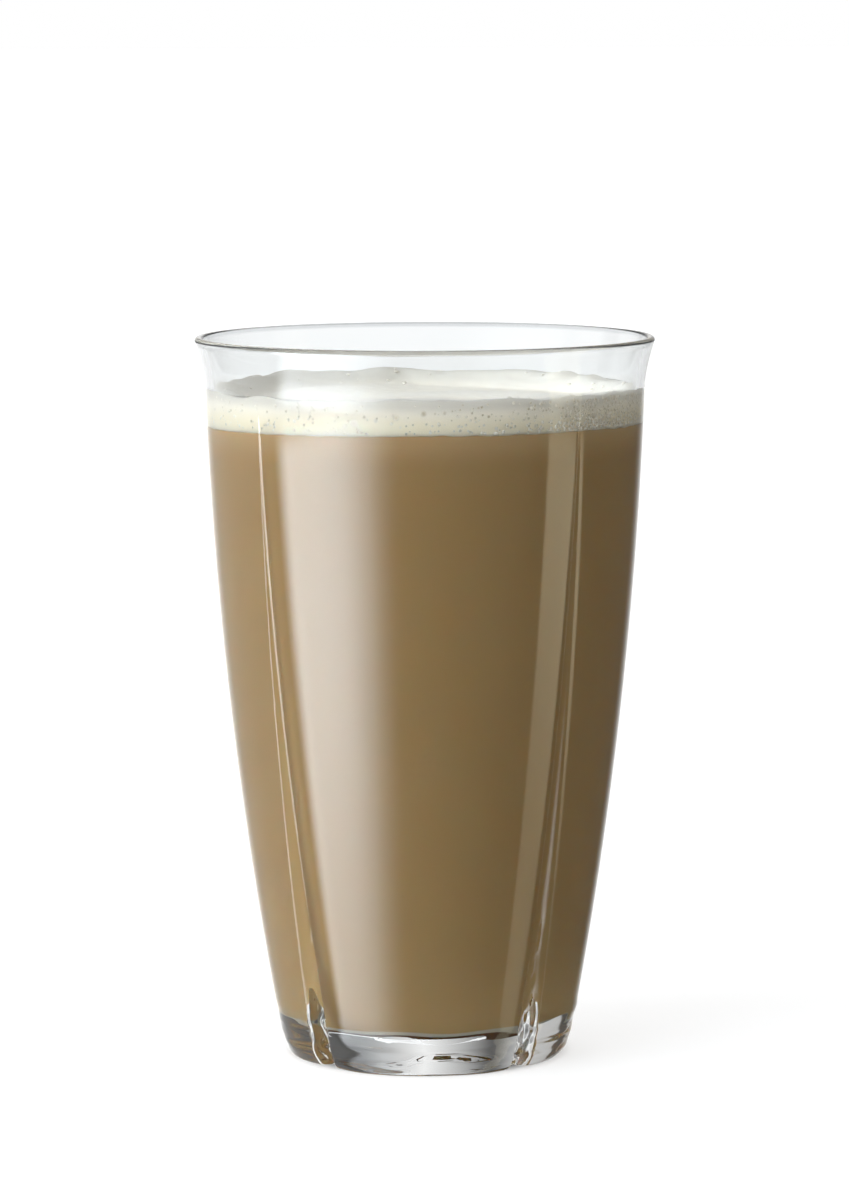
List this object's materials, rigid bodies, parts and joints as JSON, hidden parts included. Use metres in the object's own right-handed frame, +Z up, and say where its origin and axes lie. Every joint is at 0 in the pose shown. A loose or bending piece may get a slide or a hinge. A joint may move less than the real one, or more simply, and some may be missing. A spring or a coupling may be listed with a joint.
{
  "type": "glass of latte",
  "caption": "Tall clear drinking glass with a flared lip and upright grooves, filled with milky coffee under a layer of milk foam.",
  "frame": {"origin": "on the surface that the glass stands on, under the centre of its foot", "axes": "+Z up along the glass, -Y towards the front panel between two grooves"},
  "size_m": [0.0826, 0.0826, 0.13],
  "materials": {
    "clear_glass": "clear pressed glass, fire-polished",
    "milky_coffee": "opaque light brown drink, wetting the glass",
    "milk_foam": "fine soft off-white foam"
  },
  "bodies": {
    "root": {"glass": "clear_glass", "coffee": "milky_coffee", "foam": "milk_foam"}
  },
  "joints": []
}
